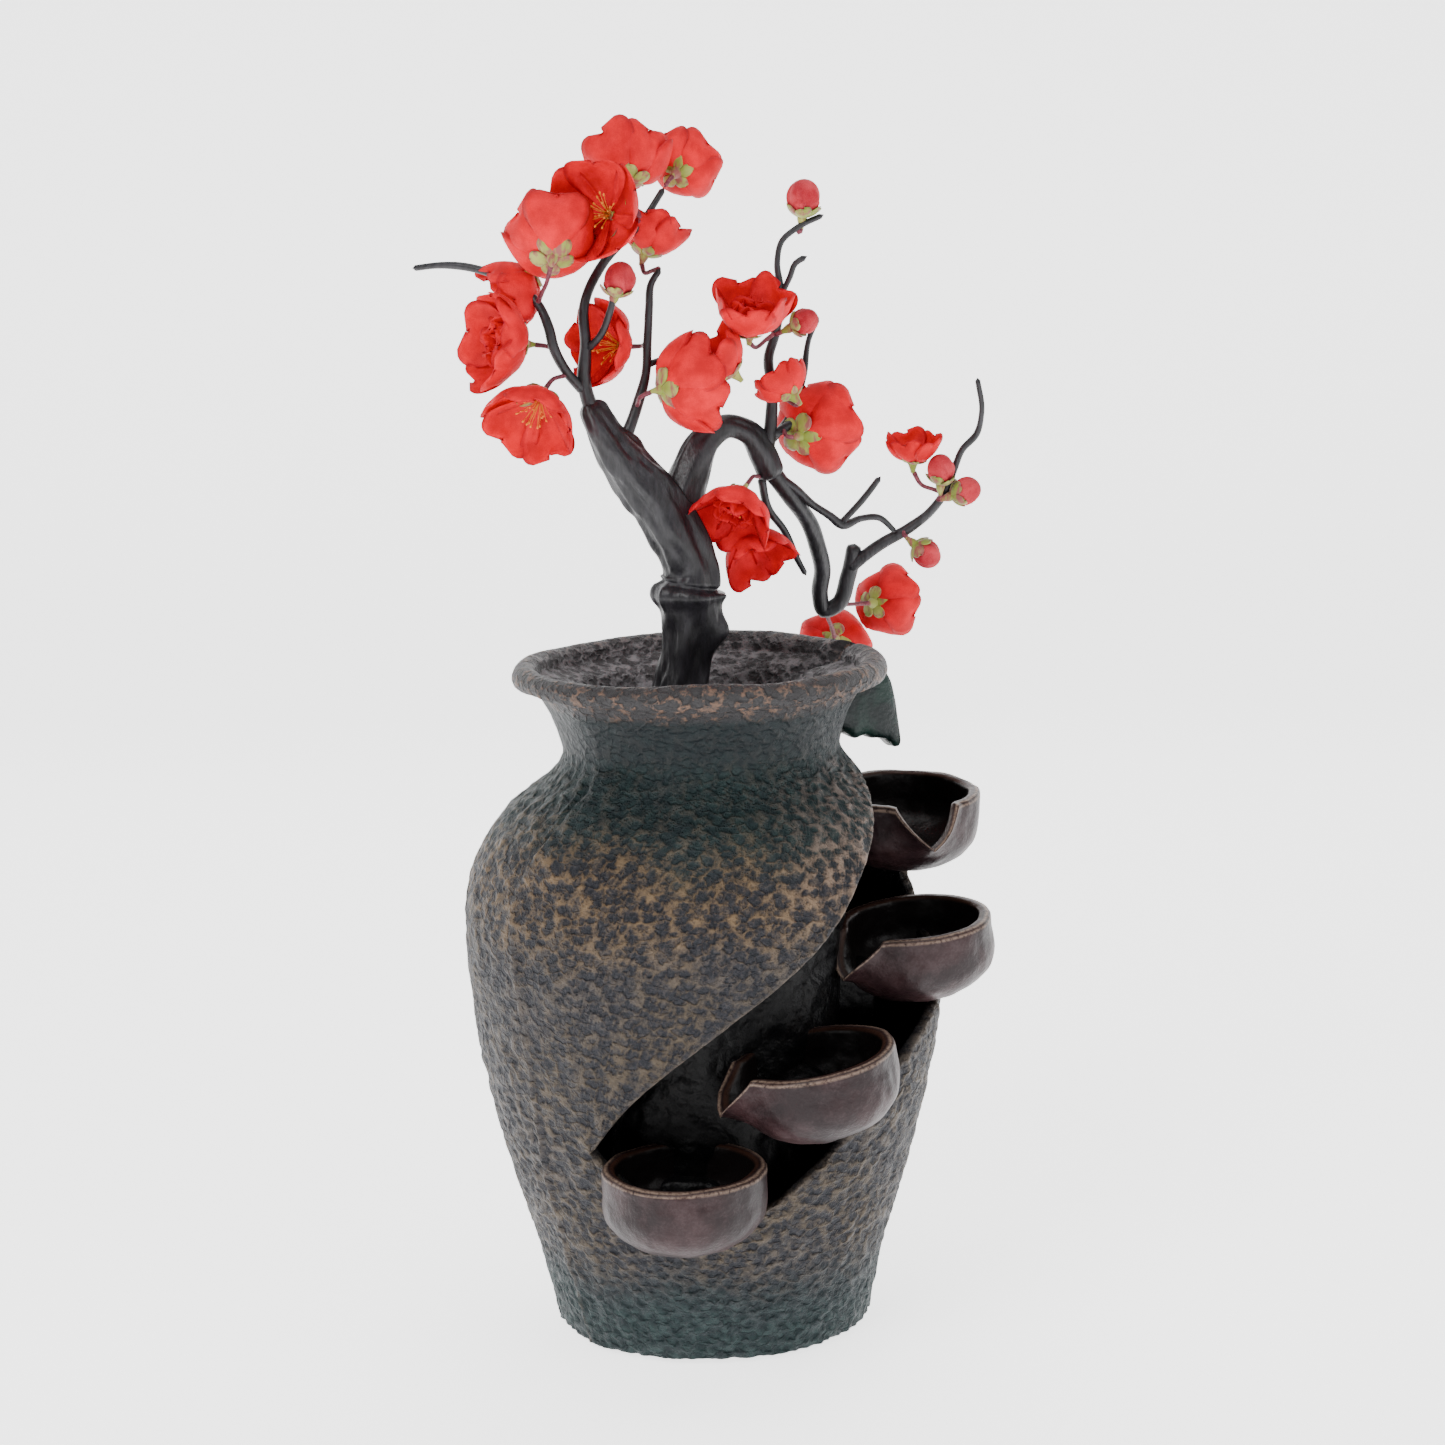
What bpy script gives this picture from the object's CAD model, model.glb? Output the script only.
# %% [markdown]
# # A tabletop fountain with a blossom branch
# The object has three families of parts: hand-painted hammered resin, moulded plastic twigs and
# heat-pressed silk petals. The packed frame gives the sizes and the moving bodies, and this file
# makes the surfaces that are seen. Lengths are worked in millimetres and turned into metres once,
# where a mesh is made. Every shape is a grid of points computed by one formula with numpy.

# %% Start from the frame
import math
import bpy
import numpy as np
from mathutils import Matrix, Vector


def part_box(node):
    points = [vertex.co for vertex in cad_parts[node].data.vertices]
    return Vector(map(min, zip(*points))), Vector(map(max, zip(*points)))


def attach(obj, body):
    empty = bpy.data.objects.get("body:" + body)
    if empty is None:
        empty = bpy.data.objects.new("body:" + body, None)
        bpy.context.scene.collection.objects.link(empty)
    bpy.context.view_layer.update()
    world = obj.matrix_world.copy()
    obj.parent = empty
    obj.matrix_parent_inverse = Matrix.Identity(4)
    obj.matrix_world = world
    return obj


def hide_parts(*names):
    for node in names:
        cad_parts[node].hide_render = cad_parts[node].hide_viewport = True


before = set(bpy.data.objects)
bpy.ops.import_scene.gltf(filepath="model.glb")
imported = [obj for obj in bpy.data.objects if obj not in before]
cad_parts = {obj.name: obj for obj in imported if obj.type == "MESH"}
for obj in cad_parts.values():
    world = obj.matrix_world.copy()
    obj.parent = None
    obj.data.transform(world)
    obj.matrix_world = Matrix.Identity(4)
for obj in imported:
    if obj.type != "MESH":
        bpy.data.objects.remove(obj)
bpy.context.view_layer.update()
MM = 0.001


def box_mm(node):
    """Lowest and highest corner of a CAD node, in millimetres."""
    low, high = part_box(node)
    return np.array(low) / MM, np.array(high) / MM


VASE_LOW, VASE_HIGH = box_mm("vase_shell")
RIM_TOP = VASE_HIGH[2]
BELLY_R = (VASE_HIGH[1] - VASE_LOW[1]) / 2
print("vase", RIM_TOP, "mm tall, belly radius", round(float(BELLY_R), 1))

# %% [markdown]
# ## Camera, floor and light
# A long lens about 1.2 m away, looking slightly down, keeps the vase's sides nearly parallel. The
# camera is turned a little about its own axis, as a hand-held one is. Three large soft lights and a
# white floor give even light without hard shadows.

# %% Camera, floor and light
scene = bpy.context.scene
CAMERA_PLACE = (0.009, -1.168, 0.459)
CAMERA_PITCH = 10.28
CAMERA_ROLL = 1.34
LENS = 73.3
LIT_POINT = (0, 0, 0.2)
WORLD_STRENGTH = 0.22

lens = bpy.data.cameras.new("camera")
lens.lens = LENS
lens.sensor_width = 36
camera = bpy.data.objects.new("camera", lens)
camera.matrix_world = (Matrix.Translation(CAMERA_PLACE)
                       @ Matrix.Rotation(math.radians(90 - CAMERA_PITCH), 4, "X")
                       @ Matrix.Rotation(math.radians(-CAMERA_ROLL), 4, "Z"))
scene.collection.objects.link(camera)
scene.camera = camera


def soft_light(name, place, size, power):
    """A square area light at place that faces the vase."""
    data = bpy.data.lights.new(name, "AREA")
    data.size = size
    data.energy = power
    lamp = bpy.data.objects.new(name, data)
    lamp.location = place
    aim = Vector(LIT_POINT) - lamp.location
    lamp.rotation_euler = aim.to_track_quat("-Z", "Y").to_euler()
    scene.collection.objects.link(lamp)


soft_light("key", (-0.9, -1.3, 1.5), 0.9, 27)
soft_light("fill", (1.3, -0.9, 0.9), 1.0, 8)
soft_light("top", (0.1, 0.2, 1.7), 1.2, 14)
world = bpy.data.worlds.new("studio")
world.use_nodes = True
background = world.node_tree.nodes["Background"]
background.inputs["Color"].default_value = (1, 1, 1, 1)
background.inputs["Strength"].default_value = WORLD_STRENGTH
scene.world = world
print("camera", CAMERA_PLACE, "and", len(bpy.data.lights), "lights")

# %% [markdown]
# ## Grids into meshes
# A surface is a block of points with rows and columns. Its faces are the quads between
# neighbours, and a grid can close on itself around, or along, or both. Points that fall on each
# other, as at a seam, are welded afterwards, so every piece is one closed skin.

# %% Grids into meshes
def grid_faces(rows, cols, around=True, along=False, first=0):
    """Quads of a grid stored row by row. around joins the last column to the first, along the
    last row to the first. Faces point out when columns run anticlockwise and rows upward."""
    r = np.arange(rows if along else rows - 1)[:, None]
    c = np.arange(cols if around else cols - 1)[None, :]
    up, right = (r + 1) % rows, (c + 1) % cols
    quads = np.stack([r * cols + c, r * cols + right, up * cols + right, up * cols + c], -1)
    return quads.reshape(-1, 4) + first


WELD_GRAIN = 1e-3


def weld(points, quads):
    """Points that fall in the same grain of space become one."""
    keys = np.round(points / WELD_GRAIN).astype(np.int64)
    _, first, same = np.unique(keys, axis=0, return_index=True, return_inverse=True)
    return points[first], same.reshape(-1)[quads], first


def split_quads(quads):
    """Quads as triangles and true quads: a side of no length is dropped."""
    nxt = np.roll(quads, -1, axis=1)
    flat = quads == nxt
    whole = quads[flat.sum(1) == 0]
    thin = flat.sum(1) == 1
    order = np.argsort(flat[thin], axis=1, kind="stable")[:, :3]
    tris = np.take_along_axis(quads[thin], np.sort(order, axis=1), axis=1)
    return whole, tris


def make_piece(name, points, quads, material, body, slot, seam=True, smooth=True, **layers):
    """A mesh object from points in millimetres. layers are numbers stored per point."""
    points = points.reshape(-1, 3)
    if seam:
        points, quads, first = weld(points, quads)
        layers = {key: np.ravel(value)[first] for key, value in layers.items()}
    quads, tris = split_quads(quads)
    mesh = bpy.data.meshes.new(name)
    corners = np.concatenate([quads.ravel(), tris.ravel()]).astype(np.int32)
    sizes = np.concatenate([np.full(len(quads), 4), np.full(len(tris), 3)]).astype(np.int32)
    mesh.vertices.add(len(points))
    mesh.vertices.foreach_set("co", (np.asarray(points, np.float32) * MM).ravel())
    mesh.loops.add(len(corners))
    mesh.loops.foreach_set("vertex_index", corners)
    mesh.polygons.add(len(sizes))
    mesh.polygons.foreach_set("loop_start", np.concatenate([[0], np.cumsum(sizes)[:-1]]))
    mesh.update(calc_edges=True)
    mesh.validate()
    mesh.polygons.foreach_set("use_smooth", np.full(len(mesh.polygons), smooth))
    for key, value in layers.items():
        layer = mesh.attributes.new(key, "FLOAT", "POINT")
        layer.data.foreach_set("value", np.ravel(value).astype(np.float32))
    mesh.materials.append(material)
    piece = bpy.data.objects.new(name, mesh)
    scene.collection.objects.link(piece)
    if body:
        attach(piece, body)
    return piece


def turned(r, angle, z):
    """Points at radius r and height z, turned by angle about the vertical."""
    return np.stack([r * np.cos(angle), r * np.sin(angle), z], -1)


def faced(out, side, up, angle):
    """Points that lie out and to the side of the axis, seen along the direction angle."""
    c, s = np.cos(angle), np.sin(angle)
    return np.stack([out * c - side * s, out * s + side * c, up], -1)


print("one square of the grid:", grid_faces(2, 2, False).tolist())

# %% [markdown]
# ## Curves, noise and cells
# Hand-made things need three helpers: a smooth curve through a few chosen points, soft random
# lumps, and random cells for the hammer marks. The randomness is a hash of whole numbers, so it
# is the same in every run.

# %% Curves, noise and cells
def smooth_curve(known, values, wanted):
    """Cubic curve through the known points: each stretch is a Hermite cubic whose slopes are the
    average slopes of its neighbours. values may have several columns."""
    known = np.asarray(known, float)
    values = np.asarray(values, float)
    slopes = np.gradient(values, known, axis=0)
    i = np.clip(np.searchsorted(known, wanted, side="right") - 1, 0, len(known) - 2)
    width = known[i + 1] - known[i]
    t = np.clip((wanted - known[i]) / width, 0, 1)
    if values.ndim > 1:
        t, width = t[..., None], width[..., None]
    return ((1 + 2 * t) * (1 - t) ** 2 * values[i] + t * (1 - t) ** 2 * width * slopes[i]
            + t * t * (3 - 2 * t) * values[i + 1] + t * t * (t - 1) * width * slopes[i + 1])


def hashed(*whole):
    """A number from 0 to 1 for each set of whole numbers, by mixing their bits."""
    h = np.zeros((1, *np.broadcast(*whole).shape), np.uint32)
    for part, factor in zip(whole, (374761393, 668265263, 2246822519, 3266489917)):
        h ^= np.asarray(part).astype(np.int64).astype(np.uint32)[None] * np.uint32(factor)
        h = (h ^ (h >> np.uint32(13))) * np.uint32(1274126177)
    return ((h ^ (h >> np.uint32(16))) & np.uint32(0xFFFFFF))[0] / float(0xFFFFFF)


def lumps(points, size, seed=0):
    """Smooth noise from -1 to 1: random numbers on a cubic lattice, blended in between."""
    q = np.asarray(points, float) / size
    base = np.floor(q).astype(np.int64)
    f = q - base
    f = f * f * (3 - 2 * f)
    total = 0.0
    for corner in np.ndindex(2, 2, 2):
        weight = np.prod([np.where(side, f[..., k], 1 - f[..., k])
                          for k, side in enumerate(corner)], axis=0)
        lattice = [base[..., k] + side for k, side in enumerate(corner)]
        total = total + weight * hashed(*lattice, seed)
    return 2 * total - 1


def cells(u, v, around, seed=0):
    """Distance from each point to the nearest of the jittered cell middles. The cells repeat
    after a whole number of them along u."""
    iu, iv = np.floor(u).astype(np.int64), np.floor(v).astype(np.int64)
    near = np.full(u.shape, np.inf)
    for du in (-1, 0, 1):
        for dv in (-1, 0, 1):
            cu, cv = iu + du, iv + dv
            mu = cu + 0.5 + 0.8 * (hashed(cu % around, cv, seed) - 0.5)
            mv = cv + 0.5 + 0.8 * (hashed(cu % around, cv, seed + 1) - 0.5)
            near = np.minimum(near, np.hypot(u - mu, v - mv))
    return near


def smoothstep(low, high, x):
    """0 below low, 1 above high, and an S-shaped rise between."""
    t = np.clip((x - low) / (high - low), 0, 1)
    return t * t * (3 - 2 * t)


print("smoothstep half way:", float(smoothstep(0, 1, 0.5)))


# %% [markdown]
# ## Shader arithmetic
# A material is written as sums and products. A Wire is one socket; adding or multiplying Wires
# adds Math nodes, and a Paint holds the material and makes every other kind of node.

# %% Shader arithmetic
class Wire:
    """A socket of a shader, with arithmetic that adds Math nodes."""

    def __init__(self, paint, socket):
        self.paint, self.socket = paint, socket

    def math(self, operation, a, b=0.0):
        return self.paint.add("ShaderNodeMath", {"operation": operation}, {0: a, 1: b})

    def __add__(self, other):
        return self.math("ADD", self, other)

    def __sub__(self, other):
        return self.math("SUBTRACT", self, other)

    def __rsub__(self, other):
        return self.math("SUBTRACT", other, self)

    def __mul__(self, other):
        return self.math("MULTIPLY", self, other)

    __radd__, __rmul__ = __add__, __mul__

    def step(self, low, high):
        """0 below low and 1 above high, with a smooth rise."""
        settings = {"interpolation_type": "SMOOTHSTEP"}
        return self.paint.add("ShaderNodeMapRange", settings,
                              {"Value": self, "From Min": low, "From Max": high})


class Paint:
    """A procedural material. Fixed numbers are set on the shader's own sockets."""

    def __init__(self, name, **fixed):
        self.material = bpy.data.materials.new(name)
        self.material.use_nodes = True
        self.tree = self.material.node_tree
        self.shader = self.tree.nodes["Principled BSDF"]
        for key, value in fixed.items():
            self.shader.inputs[key.replace("_", " ")].default_value = value
        self.place = self.add("ShaderNodeTexCoord", output="Object")

    def add(self, kind, settings=None, values=None, output=0):
        """Any node: its settings are set first, then the values or links of its sockets."""
        node = self.tree.nodes.new(kind)
        for key, value in (settings or {}).items():
            setattr(node, key, value)
        for key, value in (values or {}).items():
            if isinstance(value, Wire):
                self.tree.links.new(value.socket, node.inputs[key])
            else:
                node.inputs[key].default_value = value
        return Wire(self, node.outputs[output])

    def noise(self, scale, detail=3.0, rough=0.5, stretch=None):
        """Soft noise from 0 to 1 with features about 1/scale metres wide."""
        at = self.place
        if stretch:
            at = self.add("ShaderNodeMapping", {}, {"Vector": at, "Scale": stretch})
        return self.add("ShaderNodeTexNoise", {},
                        {"Vector": at, "Scale": scale, "Detail": detail, "Roughness": rough})

    def warped(self, scale, amount):
        """The place on the object, shifted by up to half of amount metres by soft noise."""
        shift = self.add("ShaderNodeTexNoise", {}, {"Vector": self.place, "Scale": scale,
                                                    "Detail": 3}, "Color")
        return self.add("ShaderNodeVectorMath", {"operation": "MULTIPLY_ADD"},
                        {0: shift, 1: (amount, amount, amount), 2: self.place})

    def cells(self, scale, feature="F1", stretch=(1, 1, 1), at=None):
        """Distance to the middle or the border of random cells."""
        at = self.add("ShaderNodeMapping", {}, {"Vector": at or self.place, "Scale": stretch})
        return self.add("ShaderNodeTexVoronoi", {"feature": feature},
                        {"Vector": at, "Scale": scale}, "Distance")

    def layer(self, name):
        """A number stored on the mesh's points."""
        return self.add("ShaderNodeAttribute", {"attribute_name": name}, output="Fac")

    def along(self, axis):
        """Distance along X, Y or Z in millimetres."""
        return self.add("ShaderNodeSeparateXYZ", {}, {0: self.place}, axis) * 1000

    def mix(self, share, a, b):
        """Colour a turning into colour b as share goes from 0 to 1."""
        a, b = (c if isinstance(c, Wire) else (*c, 1) for c in (a, b))
        return self.add("ShaderNodeMix", {"data_type": "RGBA"}, {0: share, 6: a, 7: b}, 2)

    def finish(self, colour, rough, bump=None, depth=0.0004, strength=1.0):
        """Connects colour, roughness and a height for bump, and returns the material."""
        links = {"Base Color": colour, "Roughness": rough}
        if bump is not None:
            links["Normal"] = self.add("ShaderNodeBump", {}, {
                "Strength": strength, "Distance": depth, "Height": bump}, "Normal")
        for socket, wire in links.items():
            self.tree.links.new(wire.socket, self.shader.inputs[socket])
        return self.material


print("shader arithmetic ready:", [name for name in vars(Paint) if name[0] != "_"])


# %% [markdown]
# ## Painted resin
# The vase is cast in resin from a hammered mould, painted black in the pits, and dry-brushed: a
# nearly dry brush leaves ochre or rust on the high places only. Teal is sprayed over the foot, the
# shoulder and the neck. So the colour is built in that order: pits, dry-brushed ridges, spray.

# %% Painted resin
CHARCOAL = (0.010, 0.011, 0.015)
SLATE = (0.030, 0.030, 0.036)
OCHRE = (0.112, 0.082, 0.050)
RUST = (0.165, 0.108, 0.058)
TAN = (0.110, 0.088, 0.070)
TEAL = (0.021, 0.047, 0.044)
DEEP_TEAL = (0.006, 0.014, 0.016)
NECK_SLATE = (0.005, 0.007, 0.009)
RIM_BROWN = (0.042, 0.040, 0.041)
RIM_RUST = (0.200, 0.118, 0.080)
MOUTH_GREY = (0.210, 0.203, 0.212)
DUSTY_PINK = (0.330, 0.235, 0.200)
UNPAINTED = (0.006, 0.006, 0.007)


def vase_paint(name):
    """Hammered resin: dark pits, dry-brushed ridges, and teal bands by height."""
    paint = Paint(name, Specular_IOR_Level=0.22)
    pit = paint.layer("pit")
    height = paint.along("Z") + paint.noise(22, 2) * 34 - 17
    fine = paint.noise(700, 5, 0.7)
    middle = paint.noise(170, 4, 0.65, stretch=(1, 1, 1.6))
    patch = paint.noise(30, 4, 0.6)
    border = paint.cells(235, "F1", (1, 1, 1.5), at=paint.warped(330, 0.005))
    line = border.step(0.30, 0.80)
    ridge = line * 0.45 + (1 - pit) * 0.40 + fine * 0.90 + middle * 0.60
    brushed = (ridge + patch * 0.30).step(1.04, 1.90)
    low = height.step(22, 52)
    rusty = height.step(160, 192) * (1 - height.step(206, 226))
    top = height.step(212, 232)
    rim = paint.along("Z").step(256, 262)
    dark = paint.mix(fine.step(0.35, 0.7), CHARCOAL, SLATE)
    warm = paint.mix(patch.step(0.38, 0.62), TAN, OCHRE)
    warm = paint.mix(rusty, warm, RUST)
    amount = brushed * (low * 0.68 + rusty * 0.32 - top * 0.32)
    colour = paint.mix(amount, dark, warm)
    foot_teal = (1 - height.step(14, 56)) * 0.8
    band_teal = height.step(190, 222) * (1 - rim) * (patch * 0.6 + 0.45)
    green = paint.mix(pit * 0.6 + fine * 0.5, TEAL, DEEP_TEAL)
    teal = (foot_teal + band_teal).step(0.0, 1.1) * (1 - brushed * 0.5)
    colour = paint.mix(teal, colour, green)
    neck = paint.along("Z").step(230, 246) * (1 - rim)
    colour = paint.mix(neck * (0.45 + middle * 0.6), colour, NECK_SLATE)
    rim_tone = paint.mix((fine * 0.9 + middle * 0.5 + line * 0.35).step(0.88, 1.22),
                         RIM_BROWN, RIM_RUST)
    colour = paint.mix(rim * 0.9, colour, rim_tone)
    mouth = paint.mix((fine + middle + line * 0.4).step(0.9, 1.5), RIM_BROWN, MOUTH_GREY)
    colour = paint.mix(paint.layer("mouth") * 0.9, colour, mouth)
    right = paint.along("X").step(15, 85) * height.step(165, 205) * (1 - height.step(225, 240))
    colour = paint.mix(right * brushed * 0.75, colour, DUSTY_PINK)
    colour = paint.mix(paint.layer("edge") * middle.step(0.3, 0.6) * 0.8, colour, TAN)
    colour = paint.mix(paint.layer("inside"), colour, UNPAINTED)
    relief = line * 0.8 + middle * 0.7 + fine * 0.6
    rough = 0.58 - fine * 0.2 + pit * 0.05
    return paint.finish(colour, rough, relief * (1 - neck * 0.6), 0.0019, 0.9)


VASE_PAINT = vase_paint("hammered_resin")
print("vase paint ready")

# %% [markdown]
# ## The vase's outline
# The outline follows the frame's: a foot that swells to the belly, a full shoulder, a hollow neck
# that flares, and a rolled bead. It is sampled finely once, and then read back by the distance
# along it, so that hammer marks keep their size on the steep and the flat parts.

# %% The vase's outline
BASE_R = 64.5
NECK_R = 55.0
RIM_RING = 70.0
BEAD_R = 5.5
WALL = 6.0
FOOT = float(VASE_LOW[2])
RIM_Z = RIM_TOP - BEAD_R
BELLY_Z = 0.62 * RIM_TOP
COLLAR_Z = 0.84 * RIM_TOP
FLARE_Z = 0.90 * RIM_TOP
HOLLOW_Z = 231
UNDER_BEAD = RIM_Z - 4.2
OUTSIDE_ROWS, BEAD_ROWS = 1400, 120


def outline_radius(z):
    """Radius of the vase at height z, up to the start of the bead."""
    foot = BASE_R + (BELLY_R - BASE_R) * np.sin(
        np.pi / 2 * np.clip(z / BELLY_Z, 0, 1)) ** 1.22
    fall = np.clip((z - BELLY_Z) / (COLLAR_Z - BELLY_Z), 0, 1)
    shoulder = NECK_R + (BELLY_R - NECK_R) * np.cos(np.pi / 2 * fall) ** 0.6
    flare = np.clip((z - FLARE_Z) / (RIM_Z - FLARE_Z), 0, 1)
    neck = NECK_R + (RIM_RING - NECK_R) * (1 - np.sqrt(1 - flare ** 2))
    return np.where(z <= BELLY_Z, foot, np.where(z <= COLLAR_Z, shoulder, neck))


def full_outline():
    """Outline as [radius, height]: up the outside, over the bead, and down into the throat. The
    outside is never narrower than a hollow, NECK_R + (RIM_RING - NECK_R) * rise^2.1, and a moving
    average rounds its corners, over a longer stretch at the neck."""
    z = np.linspace(FOOT, UNDER_BEAD, OUTSIDE_ROWS)
    rise = np.clip((z - HOLLOW_Z) / (RIM_Z - HOLLOW_Z), 0, 1)
    hollow = NECK_R + (RIM_RING - NECK_R) * rise ** 2.1
    out = np.stack([np.maximum(outline_radius(z), hollow), z], 1)
    turn = np.radians(np.linspace(-50, 205, BEAD_ROWS))
    bead = np.stack([RIM_RING + BEAD_R * np.cos(turn), RIM_Z + BEAD_R * np.sin(turn)], 1)
    down = np.linspace(RIM_Z - 4, COLLAR_Z + 2, 90)
    throat = np.stack([outline_radius(down) - WALL, down], 1)
    line = np.concatenate([out, bead, throat])

    def averaged(count):
        soft = np.stack([np.convolve(line[:, k], np.ones(count) / count, "same")
                         for k in (0, 1)], 1)
        soft[:count], soft[-count:] = line[:count], line[-count:]
        return soft

    outside = np.arange(len(line)) < OUTSIDE_ROWS
    collar = smoothstep(212, 224, line[:, 1]) * (1 - smoothstep(246, 258, line[:, 1])) * outside
    return averaged(9) * (1 - collar[:, None]) + averaged(91) * collar[:, None]


OUTLINE = full_outline()
TRAVEL = np.concatenate([[0], np.cumsum(np.hypot(*np.diff(OUTLINE, axis=0).T))])
OUTSIDE = slice(0, OUTSIDE_ROWS)
MOUTH_FROM, MOUTH_FULL = TRAVEL[OUTSIDE_ROWS + BEAD_ROWS // 2], TRAVEL[OUTSIDE_ROWS + 100]


def along_outline(s):
    """Point and outward direction of the outline at distance s from the foot."""
    r = np.interp(s, TRAVEL, OUTLINE[:, 0])
    z = np.interp(s, TRAVEL, OUTLINE[:, 1])
    ahead, behind = s + 0.8, s - 0.8
    dr = np.interp(ahead, TRAVEL, OUTLINE[:, 0]) - np.interp(behind, TRAVEL, OUTLINE[:, 0])
    dz = np.interp(ahead, TRAVEL, OUTLINE[:, 1]) - np.interp(behind, TRAVEL, OUTLINE[:, 1])
    size = np.hypot(dr, dz) + 1e-9
    return r, z, dz / size, -dr / size


def travel_at(z):
    """Distance along the outline at which the outside reaches height z."""
    return np.interp(z, OUTLINE[OUTSIDE, 1], TRAVEL[OUTSIDE])


print("outline length", round(float(TRAVEL[-1])), "mm")

# %% [markdown]
# ## The spiral gap
# The gap's two edges are smooth curves of height against the angle around the vase. Cutting a
# hole would leave ragged triangles, so instead the rows of the grid are bent to follow the edges:
# one closed band of wall lies above the gap and one below. Where there is no gap the two bands
# meet in the same points and are welded into one wall.

# %% The spiral gap
GAP_TOP = [(-122, 0.333), (-109, 0.416), (-87, 0.526), (-64, 0.632), (-46, 0.730),
           (-30, 0.785), (-7, 0.822), (20, 0.836), (46, 0.790)]
GAP_LOW = [(-122, 0.333), (-114, 0.290), (-97, 0.255), (-75, 0.246), (-60, 0.300),
           (-34, 0.434), (-16, 0.474), (-7, 0.485), (23, 0.600), (46, 0.790)]
COLUMNS = 448
theta = np.linspace(-np.pi, np.pi, COLUMNS, endpoint=False)
degrees = np.degrees(theta)
wrapped = np.where(degrees < -122, degrees + 360, degrees)


def gap_edge(points):
    """Height of one edge for every column. Behind the vase both edges are the same line."""
    az, share = np.array(points).T
    edge = smooth_curve(az, share, np.clip(wrapped, -122, 46))
    behind = np.interp(wrapped, [46, 238], [0.790, 0.333])
    return np.where(wrapped > 46, behind, edge) * RIM_TOP


gap_low, gap_top = gap_edge(GAP_LOW), gap_edge(GAP_TOP)
gap_low = np.minimum(gap_low, gap_top)
open_here = gap_top - gap_low > 0.4
gap_low = np.where(open_here, gap_low, gap_top)
print("gap is open over", int(open_here.sum()), "of", COLUMNS, "columns")

# %% Vase shell
MARKS_AROUND = 84
MARK_TALL = 4.4
UNROLL_R = 88
LIP = np.array([(1.8, 0.0), (0.8, 0.35), (0.15, 1.2), (0.0, 3.0), (0.2, WALL - 0.8)])


def wall_band(s_from, s_to, rows, inner_rows, upper):
    """A closed band of wall for every column. Its rows are: out along the outside, and back along
    the inside at the depth of the wall, with the lip rounded over at the gap's edge."""
    sign = (1 if upper else -1) * open_here
    edge = s_from if upper else s_to
    lip_s = edge + sign * LIP[:, :1]
    lip_d = np.repeat(LIP[:, 1:], COLUMNS, axis=1)
    start, stop = (edge + 2.2 * sign, s_to) if upper else (s_from, edge + 2.2 * sign)
    t = np.linspace(0, 1, rows)[:, None]
    outer_s = start + (stop - start) * t
    inside_far = travel_at(COLLAR_Z - 1) if upper else travel_at(FOOT + 0.5)
    t = np.linspace(0, 1, inner_rows)[:, None]
    near = edge + sign * 2.0
    inner_s = inside_far + (near - inside_far) * t
    inner_d = np.full_like(inner_s, WALL)
    if upper:
        s = np.concatenate([lip_s[::-1], outer_s, inner_s])
        d = np.concatenate([lip_d[::-1], np.zeros_like(outer_s), inner_d])
    else:
        s = np.concatenate([outer_s, lip_s, inner_s[::-1]])
        d = np.concatenate([np.zeros_like(outer_s), lip_d, inner_d[::-1]])
    return s, d


def unrolled(s, angle):
    """Points of a plain cylinder at distance s along the outline, where noise isn't stretched."""
    return turned(UNROLL_R, angle, s)


def hammer(s, angle):
    """How deep a point is in a hammer mark, from 0 to 1. The cells lean to one side, are about
    7 mm wide and 4.5 mm tall, and are shifted by soft noise so that they don't line up."""
    flat = unrolled(s, angle)
    u = angle / (2 * np.pi) * MARKS_AROUND + 0.07 * s + 0.45 * lumps(flat, 13, 8)
    v = s / MARK_TALL + 0.9 * np.sin(3 * angle) + 0.45 * lumps(flat, 11, 9)
    return 1 - smoothstep(0.10, 0.66, cells(u, v, MARKS_AROUND, 7))


def fold_line(s, angle):
    """The folded-over step on the left shoulder and the mould seam below it, as heights."""
    side = np.degrees(angle) + 138 + 5 * np.sin(s / 22)
    along = smoothstep(travel_at(190), travel_at(205), s) * (1 - smoothstep(
        travel_at(232), travel_at(240), s))
    step = smoothstep(-1.0, 1.0, side) * (1 - smoothstep(5, 30, side)) * along * 3.0
    seam = np.exp(-((np.degrees(angle) + 140 + 2 * np.sin(s / 30)) / 0.9) ** 2) * 0.8
    seam = seam * (1 - smoothstep(travel_at(180), travel_at(200), s))
    return step, seam


SLOT_AZ = 26
SLOT_HALF = 7.0


def rim_slot(s, angle):
    """How far the rim is pressed down where the water channel crosses it."""
    r, z, _, _ = along_outline(s)
    lean = np.radians(SLOT_AZ + (RIM_RING - r) * 0.9 * (s > travel_at(RIM_Z - 6)))
    off = (angle - lean) * r
    inside = smoothstep(SLOT_HALF, SLOT_HALF - 2.5, np.abs(off))
    return inside * smoothstep(RIM_Z - 8, RIM_Z - 2, z) * (s > travel_at(RIM_Z - 6)) * 8.5


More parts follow.
